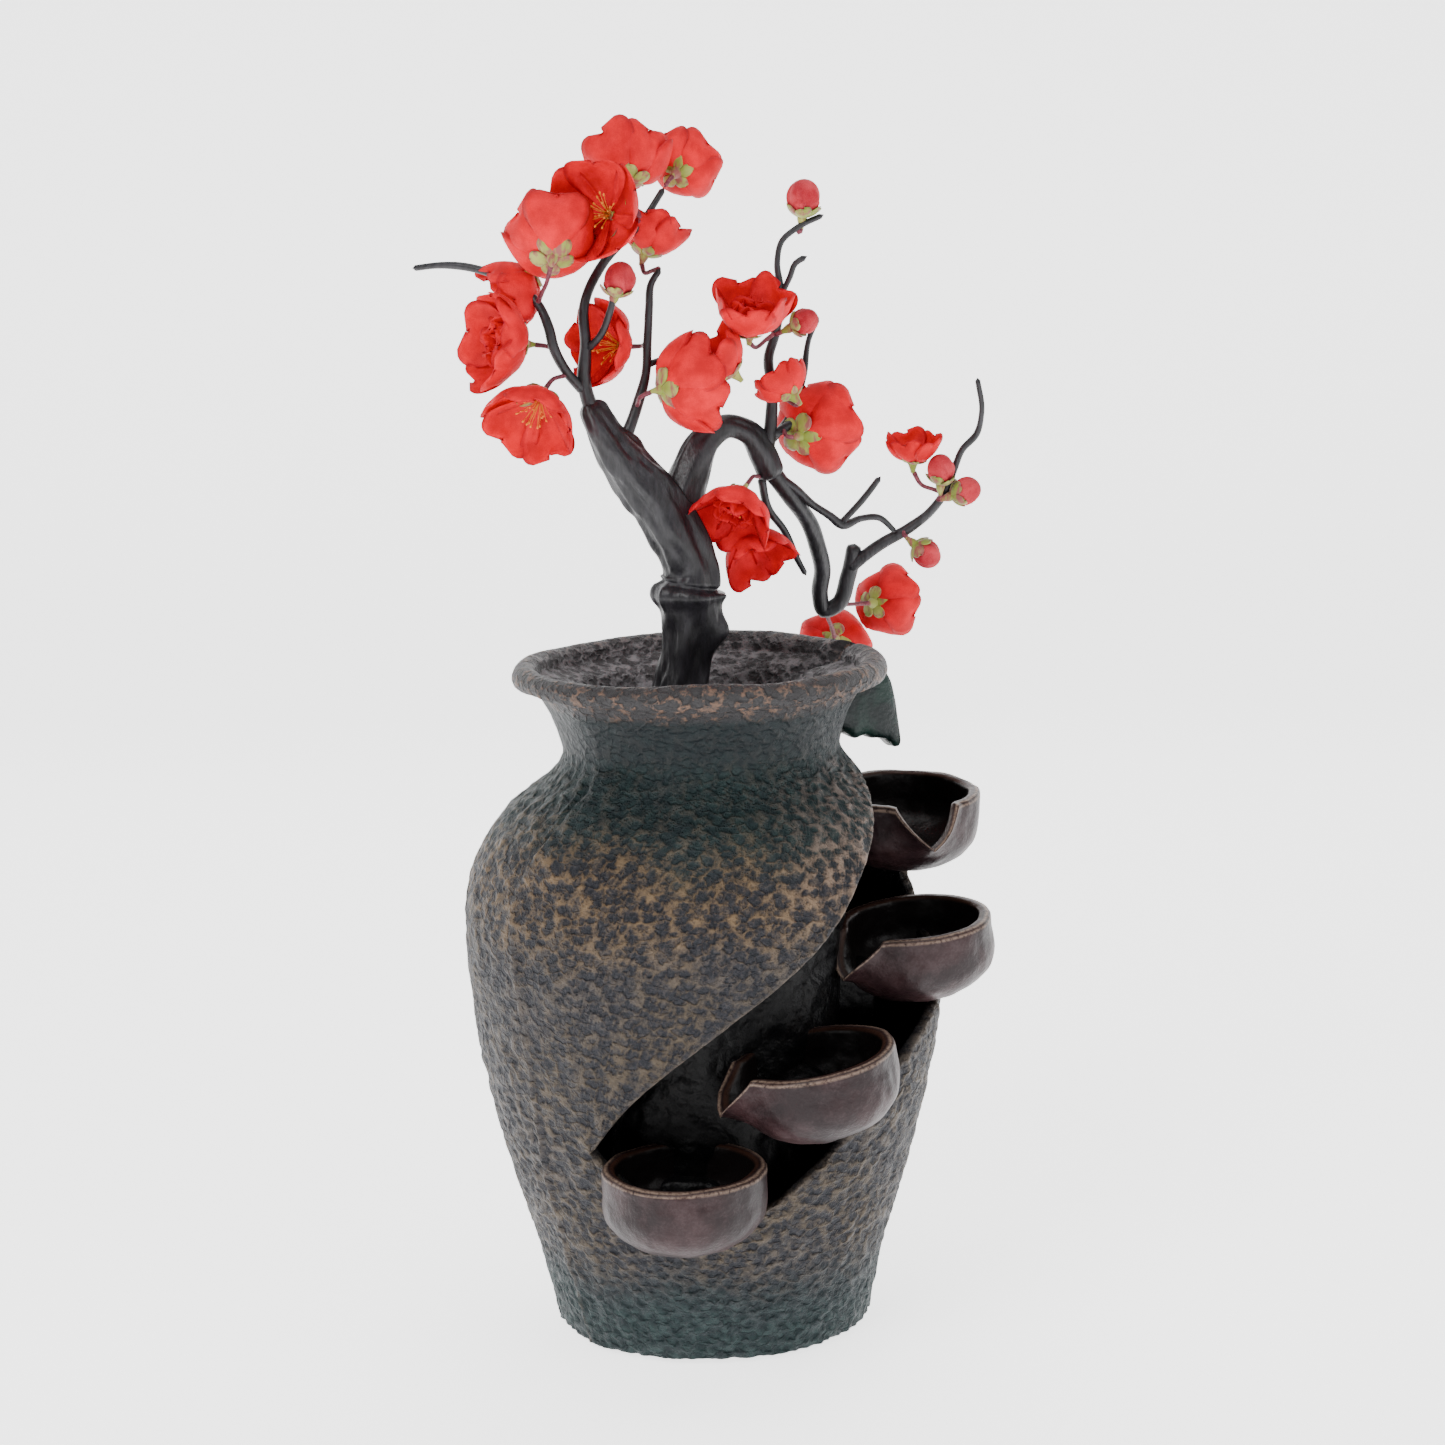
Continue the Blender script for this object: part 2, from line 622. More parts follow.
def build_band(s, d):
    """Points of one band from distances along the outline and depths below it, and the layers of
    the paint: pits, worn edge, unpainted inside and the mouth."""
    angle = np.broadcast_to(theta, s.shape)
    r, z, nr, nz = along_outline(s)
    outside = np.clip(1 - d / 2.5, 0, 1)
    pit = hammer(s, angle)
    step, seam = fold_line(s, angle)
    flat = unrolled(s, angle)
    body = 1 - 0.8 * smoothstep(travel_at(228), travel_at(243), s)
    rise = (-0.8 * pit * body + 1.3 * lumps(flat, 34, 3) + 0.55 * lumps(flat, 9, 5) * body
            + 0.25 * lumps(flat, 3.5, 6) * body + step + seam) * outside
    r, z = r + nr * (rise - d), z + nz * (rise - d)
    z = z - rim_slot(s, angle) * outside
    points = turned(r, angle, z)
    lip = np.exp(-(np.minimum(np.abs(s - travel_at(gap_top)), np.abs(s - travel_at(gap_low)))
                   / 1.6) ** 2) * open_here * (d < 1.5)
    lip = np.maximum(lip, 0.8 * seam * outside)
    inside = smoothstep(2.0, 4.5, d)
    mouth = smoothstep(MOUTH_FROM, MOUTH_FULL, s) * outside
    return points, pit * outside, lip, inside, mouth


def vase_shell():
    """The wall: the band below the gap and the band above it, welded where the gap is shut."""
    s_low, s_top = travel_at(gap_low), travel_at(gap_top)
    parts = []
    quads = []
    first = 0
    for upper, s_from, s_to, rows, inner in (
            (False, np.full(COLUMNS, 0.3), s_low, 88, 7),
            (True, s_top, np.full(COLUMNS, TRAVEL[-1] - 0.5), 100, 9)):
        s, d = wall_band(s_from, s_to, rows, inner, upper)
        lip_rows = len(LIP)
        faces = grid_faces(len(s), COLUMNS, True, True, first).reshape(len(s), COLUMNS, 4)
        shut = ~(open_here | np.roll(open_here, -1))
        keep = np.ones((len(s), COLUMNS), bool)
        if upper:
            keep[:lip_rows - 1, shut] = False
            keep[-1, shut] = False
        else:
            keep[rows:rows + lip_rows, shut] = False
            keep[rows - 1, shut] = False
        parts.append(build_band(s, d))
        quads.append(faces[keep])
        first += s.size
    points, pit, lip, inside, mouth = (
        np.concatenate([p[k].reshape(-1, *p[k].shape[2:]) for p in parts]) for k in range(5))
    piece = make_piece("vase_wall", points, np.concatenate(quads), VASE_PAINT, "root",
                       "vase_resin", pit=pit, edge=lip, inside=inside, mouth=mouth)
    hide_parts("vase_shell")
    return piece


vase = vase_shell()
print("vase wall", len(vase.data.polygons), "faces")

# %% [markdown]
# ## Service door frame
# The wall is opened at the back for the service door. A moulded frame with rounded corners stands
# round the opening inside and carries the magnets. The opening is cut with an exact Boolean.

# %% Service door frame
DOOR_LOW, DOOR_HIGH = box_mm("rear_door")
MAGNET_LOW, MAGNET_HIGH = box_mm("jamb_magnets")
RUN_GAP = 0.6


def cut_opening(piece):
    """Takes a block the size of the door, and its running gap, out of the wall."""
    low, high = DOOR_LOW - RUN_GAP, DOOR_HIGH + RUN_GAP
    high[1] += 20
    low[1] = MAGNET_LOW[1]
    corners = np.array([[x, y, z] for z in (low[2], high[2])
                        for x, y in ((low[0], low[1]), (high[0], low[1]),
                                     (high[0], high[1]), (low[0], high[1]))])
    faces = [(3, 2, 1, 0), (4, 5, 6, 7), (0, 1, 5, 4), (1, 2, 6, 5), (2, 3, 7, 6), (3, 0, 4, 7)]
    mesh = bpy.data.meshes.new("door_block")
    mesh.from_pydata((corners * MM).tolist(), [], faces)
    block = bpy.data.objects.new("door_block", mesh)
    scene.collection.objects.link(block)
    cut = piece.modifiers.new("door", "BOOLEAN")
    cut.object, cut.solver = block, "EXACT"
    bpy.context.view_layer.update()
    ready = piece.evaluated_get(bpy.context.evaluated_depsgraph_get())
    result = bpy.data.meshes.new_from_object(ready)
    piece.modifiers.remove(cut)
    piece.data = result
    bpy.data.objects.remove(block)


def frame_line(grow, y):
    """Rounded rectangle round the door: a superellipse of power 8, in the plane y."""
    half_x = (DOOR_HIGH[0] - DOOR_LOW[0]) / 2 + grow
    half_z = (DOOR_HIGH[2] - DOOR_LOW[2]) / 2 + grow
    a = np.linspace(0, 2 * np.pi, 56, endpoint=False)
    size = (np.abs(np.cos(a)) ** 8 + np.abs(np.sin(a)) ** 8) ** (-1 / 8)
    middle = (DOOR_HIGH[2] + DOOR_LOW[2]) / 2
    return np.stack([half_x * size * np.cos(a), np.full(a.size, y),
                     middle + half_z * size * np.sin(a)], -1)


def door_frame():
    """A ring of four rounded rectangles, closed along as well as around."""
    back, front = MAGNET_LOW[1] - 2, MAGNET_HIGH[1] - 0.3
    section = [(-5, back), (-5, front), (5, front), (5, back)]
    rings = np.array([frame_line(grow, y) for grow, y in section])
    quads = grid_faces(4, rings.shape[1], True, True)
    return make_piece("door_frame", rings, quads, RECESS_PAINT, "root",
                      "vase_resin", smooth=False)


# %% [markdown]
# ## Recess wall, bowls and spout
# The recess is one dark rocky wall with a floor. Each bowl is a wheel-thrown form: a profile is
# turned, the rim is pulled down and out into a pouring lip, and the whole is tilted towards the
# next bowl. The spout is a channel whose floor and sides fall away at the tip.

# %% Resin of the recess, bowls and spout
def recess_paint():
    """Nearly black semi-gloss paint over rough rock."""
    paint = Paint("recess_resin", Specular_IOR_Level=0.2)
    rock = paint.cells(95, "DISTANCE_TO_EDGE")
    grain = paint.noise(420, 4, 0.65)
    dust = (grain * 0.6 + paint.noise(60, 3) * 0.6).step(0.62, 0.85)
    colour = paint.mix(dust * 0.35, (0.003, 0.003, 0.0035), (0.022, 0.018, 0.016))
    return paint.finish(colour, 0.42 - grain * 0.16, grain + rock * 2, 0.0009, 0.8)


def bowl_paint():
    """Plum-brown paint outside with pinkish dust on the high places, black-brown inside."""
    paint = Paint("bowl_resin", Specular_IOR_Level=0.2)
    hammer_mark = paint.cells(190, "SMOOTH_F1")
    grain = paint.noise(750, 3, 0.6)
    cloud = paint.noise(55, 3)
    dust = (grain * 0.55 + hammer_mark * 0.35 + cloud * 0.55).step(0.62, 0.98)
    colour = paint.mix(cloud.step(0.35, 0.7), (0.012, 0.006, 0.007), (0.027, 0.012, 0.013))
    colour = paint.mix(dust * 0.4, colour, (0.066, 0.042, 0.045))
    colour = paint.mix(paint.layer("flat"), colour, (0.040, 0.017, 0.011))
    colour = paint.mix(paint.layer("inside"), colour, (0.007, 0.005, 0.005))
    worn = paint.layer("edge") * grain.step(0.25, 0.6)
    colour = paint.mix(worn * 0.85, colour, (0.300, 0.215, 0.165))
    rough = 0.47 - grain * 0.14 - paint.layer("inside") * 0.1
    return paint.finish(colour, rough, grain * 0.5 - hammer_mark, 0.0007, 0.7)


def spout_paint():
    """Dark teal gloss with green worn edges."""
    paint = Paint("spout_resin", Specular_IOR_Level=0.25)
    grain = paint.noise(500, 4, 0.6)
    patch = paint.noise(90, 3)
    colour = paint.mix(patch.step(0.4, 0.65), (0.002, 0.006, 0.006), (0.004, 0.017, 0.013))
    colour = paint.mix(paint.layer("inside"), colour, (0.007, 0.008, 0.009))
    return paint.finish(colour, 0.46 - grain * 0.2, grain, 0.0008, 0.8)


RECESS_PAINT, BOWL_PAINT, SPOUT_PAINT = recess_paint(), bowl_paint(), spout_paint()
cut_opening(vase)
door_frame()
print("wall after the door opening:", len(vase.data.polygons), "faces")

# %% Recess wall
LINER_R = 54.0
LINER_T = 4.0
LINER_LOW, LINER_HIGH = box_mm("cascade_liner")


def recess_wall():
    """Section of the recess, repeated around from one end of the gap to the other: down the rock
    face, out along the floor, back under it and up the hidden side."""
    columns = 200
    angle = np.radians(np.linspace(-127, 49, columns))
    face_z = np.linspace(LINER_HIGH[2] - 1, LINER_LOW[2] + LINER_T, 90)
    floor_z = LINER_LOW[2] + LINER_T
    reach = float(outline_radius(np.array(floor_z))) - WALL - 0.4
    floor_r = np.linspace(LINER_R, reach, 14)[1:]
    under = [(reach, LINER_LOW[2]), (LINER_R - LINER_T, LINER_LOW[2]),
             (LINER_R - LINER_T, LINER_HIGH[2] - 1)]
    section = np.concatenate([np.stack([np.full(90, LINER_R), face_z], -1),
                              np.stack([floor_r, np.full(13, floor_z)], -1), under])
    r = np.repeat(section[:, :1], columns, axis=1)
    z = np.repeat(section[:, 1:], columns, axis=1)
    a = np.broadcast_to(angle, r.shape)
    face = (np.arange(len(section)) < 103)[:, None]
    where = turned(r, a, z)
    rock = 2.2 * lumps(where, 22, 11) + 1.1 * lumps(where, 8, 12) + 0.5 * lumps(where, 3.5, 13)
    r = r + face * np.clip(rock + 1.2, -0.5, 4.5) * (np.abs(r - LINER_R) < 1)
    z = z + face * (r > LINER_R + 6) * 0.5 * rock
    points = turned(r, a, z)
    ends = points.mean(axis=0)[[0, -1]]
    points = np.concatenate([np.repeat(ends[None, :1], len(section), 0), points,
                             np.repeat(ends[None, 1:], len(section), 0)], axis=1)
    quads = grid_faces(len(section), columns + 2, False, True)[:, ::-1]
    piece = make_piece("recess_wall", points, quads, RECESS_PAINT, "root",
                       "recess_resin")
    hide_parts("cascade_liner")


recess_wall()

# %% Bowls
# azimuth, reach past the recess wall, rim height as a share of the vase, tilt, notch azimuth
BOWLS = [
    [23, 37, 0.770, 4, -75],
    [-1, 31, 0.602, 5, -140],
    [-58, 24, 0.467, 9, -165],
    [-97, 27, 0.321, 0, 83],
]
BOWL_R = 32.0
BOWL_WALL = 5.2


def bowl_profile():
    """Radius, height and kind of each ring: 0 outside, 1 on the rim's edge, 2 inside."""
    a = np.linspace(0.02, np.pi / 2, 26)
    cup = np.stack([BOWL_R * np.sin(a) ** 0.85, -12 - 21 * np.cos(a) ** 0.9, 0 * a], -1)
    side = np.linspace(-11, -2.2, 9)
    side = np.stack([np.full(9, BOWL_R), side, 0 * side], -1)
    inner_r = BOWL_R - BOWL_WALL
    rim = [(BOWL_R - 0.1, -1.3, 0.5), (BOWL_R - 0.6, -0.4, 1), (BOWL_R - 1.5, 0, 0.6),
           (BOWL_R - 2.8, 0.1, 0.2), (inner_r + 1.2, 0, 0.6), (inner_r + 0.4, -0.5, 1.4),
           (inner_r, -1.4, 2)]
    down = np.linspace(-2.5, -10.5, 8)
    down = np.stack([np.full(8, inner_r), down, np.full(8, 2)], -1)
    a = a[::-1]
    floor = np.stack([inner_r * np.sin(a) ** 0.85, -11 - 13.5 * np.cos(a) ** 0.9, 2 + 0 * a], -1)
    return np.concatenate([[(0, -33, 0)], cup, side, rim, down, floor, [(0, -24.5, 2)]])


def bowl(number, azimuth, reach, share, tilt, notch):
    """A turned cup with a pouring lip, if it pours, towards the notch's azimuth."""
    columns = 240
    ring = bowl_profile()
    phi = np.linspace(0, 2 * np.pi, columns, endpoint=False)
    r, z, kind = (np.repeat(ring[:, k:k + 1], columns, axis=1) for k in range(3))
    off = np.abs((phi + np.pi) % (2 * np.pi) - np.pi)
    across = np.broadcast_to(BOWL_R * np.sin(np.minimum(off, np.pi / 2)), r.shape)
    pours = number < 4
    upper = np.clip((z + 22) / 22, 0, 1)
    front = off < np.pi / 2
    drop = 15.5 * np.clip(1 - across / 13.0, 0, 1) ** 0.9 * pours * front
    flange = smoothstep(17, 2, across) * front * pours
    z = z - drop * upper ** 1.1
    r = r + 10 * flange * upper ** 1.6
    where = turned(r, phi, z) + 100 * number
    r = r + (0.55 * lumps(where, 14, 21) + 0.3 * lumps(where, 5, 22)) * (r > 4)
    z = z + 0.5 * lumps(where, 16, 23) * (kind > 0.2) * (kind < 2)
    z = z - 0.35 * lumps(where, 6, 24) * (kind < 1) * (z < -22)
    points = turned(r, phi, z)
    points[0, :, :2] = points[-1, :, :2] = 0
    points[0, :, 2], points[-1, :, 2] = points[0, 0, 2], points[-1, 0, 2]
    t, n, az = np.radians([tilt, notch, azimuth])
    lean = np.array([[np.cos(t), 0, np.sin(t)], [0, 1, 0], [-np.sin(t), 0, np.cos(t)]])
    spin = np.array([[np.cos(n), -np.sin(n), 0], [np.sin(n), np.cos(n), 0], [0, 0, 1]])
    middle = turned(LINER_R + reach, az, share * RIM_TOP)
    points = points @ (spin @ lean).T + middle
    depth = np.hypot(points[..., 0], points[..., 1])
    push = np.clip(LINER_R - 2 - depth, 0, None) / np.maximum(depth, 1)
    points[..., :2] *= (1 + push)[..., None]
    edge = np.clip(1 - np.abs(kind - 0.6) / 0.4, 0, 1) * (np.arange(len(ring)) < 39)[:, None]
    inside = smoothstep(1.2, 1.9, kind)
    flat = smoothstep(0.2, 0.5, kind) * (np.arange(len(ring)) > 37)[:, None]
    piece = make_piece(f"bowl_{number}", points, grid_faces(len(ring), columns), BOWL_PAINT,
                       "root", "bowl_resin", edge=edge, inside=inside, flat=flat)
    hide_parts(f"cascade_bowl_{number}")


for number, row in enumerate(BOWLS, 1):
    bowl(number, *row)
print("bowls:", len(BOWLS))

# %% Arms and chutes behind the bowls
def rock_arm(number, azimuth, height, reach, half, tall):
    """A rounded tongue of rock from the recess wall to a bowl: a superellipse section whose
    size shrinks a little on the way out."""
    rows, columns = 26, 48
    t = np.linspace(0, 1, rows)[:, None]
    a = np.linspace(0, 2 * np.pi, columns, endpoint=False)[None, :]
    size = (np.abs(np.cos(a)) ** 3 + np.abs(np.sin(a)) ** 3) ** (-1 / 3)
    shrink = (1 - 0.2 * t) * np.sqrt(np.clip(1 - (2 * t - 1) ** 14, 0, 1))
    out = ARM_FROM + (reach - ARM_FROM) * t + 0 * a
    side = half * size * np.cos(a) * shrink
    up = height - 0.18 * (out - ARM_FROM) + tall * size * np.sin(a) * shrink
    azimuth = np.radians(azimuth)
    points = faced(out, side, up, azimuth)
    push = 1.3 * lumps(points, 9, 31) * (shrink > 0)
    points = points + push[..., None] * turned(1, azimuth, 0.6)
    make_piece(f"arm_{number}", points, grid_faces(rows, columns), RECESS_PAINT, "root",
               "recess_resin")


# azimuth, height, reach outwards, half width and half height
ARMS = [[23, 196, 66, 14, 10], [2, 138, 70, 17, 13], [-52, 104, 62, 18, 14],
    [-97, 66, 60, 18, 12]]
ARM_FROM = 48
for number, row in enumerate(ARMS, 1):
    rock_arm(number, *row)
print("arms:", len(ARMS))

# %% Spout
SPOUT_AZ = 22


def pour_spout():
    """Channel that leaves the basin, crosses the rim and falls away. At each distance out, the
    heights of the side walls, the channel's floor and the underside come from three curves. The
    coarse cage is subdivided, the same in the viewport and in the render."""
    rows = 46
    out = np.linspace(57, 86, rows)
    top = smooth_curve([57, 66, 72, 77, 81, 84, 86], [250, 262, 265, 264, 257, 246, 234], out)
    floor = smooth_curve([57, 68, 75, 80, 84, 86], [243, 243, 241, 238, 234, 231.5], out)
    under = smooth_curve([57, 63, 70, 78, 86], [240, 237, 236.5, 235, 230], out)
    wide = smooth_curve([57, 68, 80, 86], [13, 13, 11.5, 8.5], out)
    narrow = wide - 5.2
    bed = np.maximum(floor, under + 1.2)
    top = np.maximum(top, bed + 0.8)
    side = np.stack([wide * 0.72, wide, wide, wide - 1, narrow + 1, narrow, narrow * 0.8, 0 * wide,
                     -narrow * 0.8, -narrow, -narrow - 1, 1 - wide, -wide, -wide, -wide * 0.72,
                     0 * wide], -1)
    up = np.stack([under, under + 2.5, top - 1.2, top, top, top - 1.2, bed + 1, bed, bed + 1,
                   top - 1.2, top, top, top - 1.2, under + 2.5, under, under - 0.6], -1)
    away = np.repeat(out[:, None], side.shape[1], 1)
    ends = [np.repeat(k.mean(1)[[0, -1], None], side.shape[1], 1) for k in (away, side, up)]
    away, side, up = (np.concatenate([e[:1], k, e[1:]]) for e, k in
                      zip(ends, (away, side, up)))
    points = faced(away, side, up, np.radians(SPOUT_AZ))
    ragged = np.arange(side.shape[1])
    low = ((ragged < 2) | (ragged > 12))[None, :]
    points[..., 2] += low * 1.6 * lumps(points, 3.2, 41)
    points += 0.5 * lumps(points, 6, 42)[..., None]
    inner = ((ragged > 4) & (ragged < 10))[None, :] * np.ones(len(points))[:, None]
    quads = grid_faces(len(points), side.shape[1])
    piece = make_piece("pour_spout_skin", points, quads, SPOUT_PAINT, "root",
                       "spout_resin", inside=inner)
    more = piece.modifiers.new("round", "SUBSURF")
    more.levels = more.render_levels = 2
    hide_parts("pour_spout")


pour_spout()
print("spout crosses the rim at", SPOUT_AZ, "degrees")

# %% [markdown]
# ## The branch
# The limbs are injection-moulded in black plastic with a bark texture, and the twigs are plugged
# in. Each one is a tube along a smooth route. Bark is noise stretched along the limb, so that it
# reads as long ridges. The trunk also has a joint ring and a knot.

# %% Routes of the limbs
# Each point: x, y, height above the vase's mouth, and radius
TRUNK = [[-9, 0, -32, 9], [-9, 0, -24, 13.5], [-8, 0, -17, 12], [-6, 0, -6, 10], [-4, 0, 8, 10],
    [-3, 0, 19, 12], [-3, 0, 27, 13], [-2, 0, 34, 11], [-5, -1, 45, 11], [-10, -2, 55, 11.5],
    [-16, -3, 65, 11], [-26, -5, 78, 9.5], [-35, -7, 91, 7.5], [-41, -8, 104, 5]]
ARCH = [[-5, 0, 46, 8], [-5, 2, 61, 8.5], [-1, 6, 76, 7.5], [6, 10, 87, 6], [14, 14, 91, 5],
    [22, 17, 88, 5], [28, 20, 79, 5.5], [32, 22, 69, 5]]
LEFT = [[-39, -8, 99, 3], [-42, -9, 110, 2.8], [-41, -10, 126, 2.4], [-41, -9, 142, 2],
    [-33, -4, 158, 1.8], [-18, 4, 173, 1.5], [-9, 8, 186, 1.2]]
LEFT_TIP = [[-42, -9, 108, 2.4], [-48, -12, 115, 2], [-53, -16, 125, 2], [-55, -16, 134, 2],
    [-59, -14, 143, 1.8], [-69, -10, 151, 1.7], [-86, -4, 157, 1.6], [-98, 0, 158, 1.3],
    [-109, 4, 157, 1.1]]
LEFT_BUD = [[-41, -10, 124, 1.6], [-35, -14, 130, 1.4], [-31, -16, 139, 1.3],
    [-29, -17, 146, 1.2]]
CENTRE = [[-27, -5, 88, 2.4], [-22, -2, 101, 2.2], [-18, 0, 114, 2], [-17, 0, 126, 1.8],
    [-16, 0, 140, 1.6], [-15, 0, 149, 1.4], [-11, 0, 155, 1.2]]
CENTRE_SIDE = [[-18, 0, 117, 1.5], [-12, 3, 119, 1.3], [-4, 8, 121, 1.2], [4, 12, 121, 1.1]]
UPRIGHT = [[29, 20, 78, 3], [31, 20, 90, 2.6], [32, 20, 105, 2.3], [31, 20, 118, 2.1],
    [34, 19, 128, 1.9], [36, 18, 145, 1.6], [35, 17, 156, 1.4], [37, 17, 164, 1.3],
    [43, 17, 169, 1.2], [54, 17, 174, 1.1]]
UPRIGHT_LOW = [[36, 18, 142, 1.3], [40, 16, 150, 1.2], [42, 15, 155, 1.1], [47, 14, 158, 1.1]]
UPRIGHT_SIDE = [[31, 21, 84, 1.8], [40, 29, 95, 1.5], [45, 33, 109, 1.3], [48, 35, 125, 1.2],
    [52, 36, 133, 1.1]]
UPRIGHT_STUB = [[31, 20, 86, 1.9], [36, 22, 89, 1.8], [42, 24, 92, 1.7]]
HANGING = [[29, 21, 75, 4], [39, 28, 61, 3.6], [46, 36, 50, 3.6], [50, 44, 38, 3.5],
    [52, 50, 28, 3.5], [51, 54, 17, 3.4], [53, 56, 10, 3.4], [58, 56, 12, 3.3],
    [63, 56, 24, 3.2], [66, 54, 38, 3.2]]
HANGING_END = [[63, 55, 27, 2.8], [70, 53, 33, 2.6], [77, 52, 38, 2.4], [88, 50, 44, 2.2],
    [97, 48, 51, 2], [103, 46, 59, 1.8], [107, 44, 69, 1.6], [110, 42, 77, 1.4],
    [116, 40, 84, 1.3], [118, 38, 93, 1.1], [116, 35, 107, 1]]
FORK = [[30, 21, 72, 2.4], [41, 26, 64, 2], [47, 30, 58, 1.8], [55, 34, 52, 1.8],
    [60, 36, 48, 2], [68, 40, 50, 1.4], [75, 43, 50, 1.3], [83, 48, 43, 1.1]]
FORK_UP = [[59, 36, 48, 1.5], [69, 34, 59, 1.3], [76, 32, 68, 1.1]]
FORK_DOWN = [[27, 22, 70, 1.9], [30, 28, 56, 1.6], [36, 32, 47, 1.5], [41, 36, 35, 1.4],
    [45, 38, 27, 1.2]]

# %% Tubes along routes
def route_samples(route, spacing):
    """Middle points, radii and tangents at even steps along a smooth curve through a route."""
    route = np.array(route, float)
    steps = np.linalg.norm(np.diff(route[:, :3], axis=0), axis=1)
    known = np.concatenate([[0], np.cumsum(steps)])
    s = np.linspace(0, known[-1], max(int(known[-1] / spacing), 6))
    line = smooth_curve(known, route, s)
    tangent = np.gradient(line[:, :3], s, axis=0)
    tangent /= np.linalg.norm(tangent, axis=1, keepdims=True)
    line[:, 2] += RIM_TOP
    return s, line[:, :3], line[:, 3], tangent


def tube(route, sides, spacing, bark, seed=0, shape=None):
    """Points and quads of a closed tube. The radius is r + bark ridges, and falls to zero at both
    ends as a quarter circle does. shape(angle, middle, r) may change the radius."""
    s, middle, radius, tangent = route_samples(route, spacing)
    a = np.cross(tangent, [0, 1, 0])
    a /= np.linalg.norm(a, axis=1, keepdims=True)
    b = np.cross(a, tangent)
    angle = np.linspace(0, 2 * np.pi, sides, endpoint=False)
    r = np.repeat(radius[:, None], sides, 1)
    ring = np.stack([r * np.cos(angle), r * np.sin(angle),
                     np.repeat(s[:, None] * 0.22, sides, 1)], -1) + 37 * seed
    ridges = 0.6 * lumps(ring, 4.5, 51) + 0.4 * lumps(ring, 2.1, 52)
    knots = lumps(ring * [1, 1, 4], 12, 53)
    r = r * (1 + 0.06 * knots) + bark * ridges
    if shape is not None:
        r = shape(angle[None, :], middle, r)
    end = np.minimum(s, s[-1] - s)[:, None] / np.maximum(radius[:, None] * 0.8, 0.2)
    r = r * np.sqrt(np.clip(1 - (1 - np.clip(end, 0, 1)) ** 2, 0, 1))
    across = np.cos(angle)[:, None] * a[:, None] + np.sin(angle)[:, None] * b[:, None]
    points = middle[:, None] + r[..., None] * across
    return points.reshape(-1, 3), grid_faces(len(s), sides)[:, ::-1]


def join(parts):
    """Several point and quad blocks as one."""
    starts = np.cumsum([0] + [len(points) for points, _ in parts[:-1]])
    return (np.concatenate([points for points, _ in parts]),
            np.concatenate([quads + start for (_, quads), start in zip(parts, starts)]))


def branch_paint():
    """Black moulded plastic with long grain and a grey shine on the ridges."""
    paint = Paint("branch_plastic", Specular_IOR_Level=0.4)
    grain = paint.noise(520, 4, 0.6, stretch=(1, 1, 0.25))
    patch = paint.noise(70, 3)
    colour = paint.mix((grain * 0.7 + patch * 0.5).step(0.45, 0.85),
                       (0.006, 0.0055, 0.007), (0.022, 0.020, 0.025))
    return paint.finish(colour, 0.50 - grain * 0.2, grain, 0.0006, 0.7)


BRANCH_PAINT = branch_paint()


def trunk_shape(angle, middle, r):
    """The joint ring where the trunk is plugged together, a sleeve under it and a knot."""
    z = (middle[:, 2] - RIM_TOP)[:, None]
    ring = -0.16 * np.exp(-((z - 29.5) / 1.1) ** 2) + 0.10 * np.exp(-((z - 25.5) / 3) ** 2)
    knot = 5.0 * np.exp(-((z - 12) / 6) ** 2) * np.exp(-((angle - 3.4) / 0.5) ** 2)
    flute = 0.8 * np.cos(5 * angle + z / 16) * smoothstep(24, 10, z)
    return r * (1 + ring) + knot + flute


def limb(name, routes, sides, spacing, bark, shape=None):
    """One plugged-together limb from its routes."""
    parts = [tube(route, sides, spacing, bark, seed, shape) for seed, route in enumerate(routes)]
    piece = make_piece(name + "_bark", *join(parts), BRANCH_PAINT, "branch", "branch_plastic")
    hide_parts(name)


limb("trunk", [TRUNK], 80, 0.8, 2.3, trunk_shape)
limb("arch_limb", [ARCH], 48, 0.8, 1.5)
limb("left_twig", [LEFT, LEFT_TIP, LEFT_BUD], 16, 1.6, 0.3)
limb("centre_twig", [CENTRE, CENTRE_SIDE], 16, 1.6, 0.3)
limb("upright_twig", [UPRIGHT, UPRIGHT_LOW, UPRIGHT_SIDE, UPRIGHT_STUB], 16, 1.6, 0.3)
limb("hanging_limb", [HANGING, HANGING_END], 24, 1.3, 0.45)
limb("fork_twigs", [FORK, FORK_UP, FORK_DOWN], 16, 1.6, 0.25)

# %% [markdown]
# ## Silk blossoms
# A petal is a thin cushion of two skins that share their edge. Its half width swells and closes
# again with the distance from the base, it curls upward along its length and across its width,
# and its edge is a little ruffled. Five petals make a whorl, and full blooms have two or three.

# %% Petal shape
SILK_HALF = 0.28


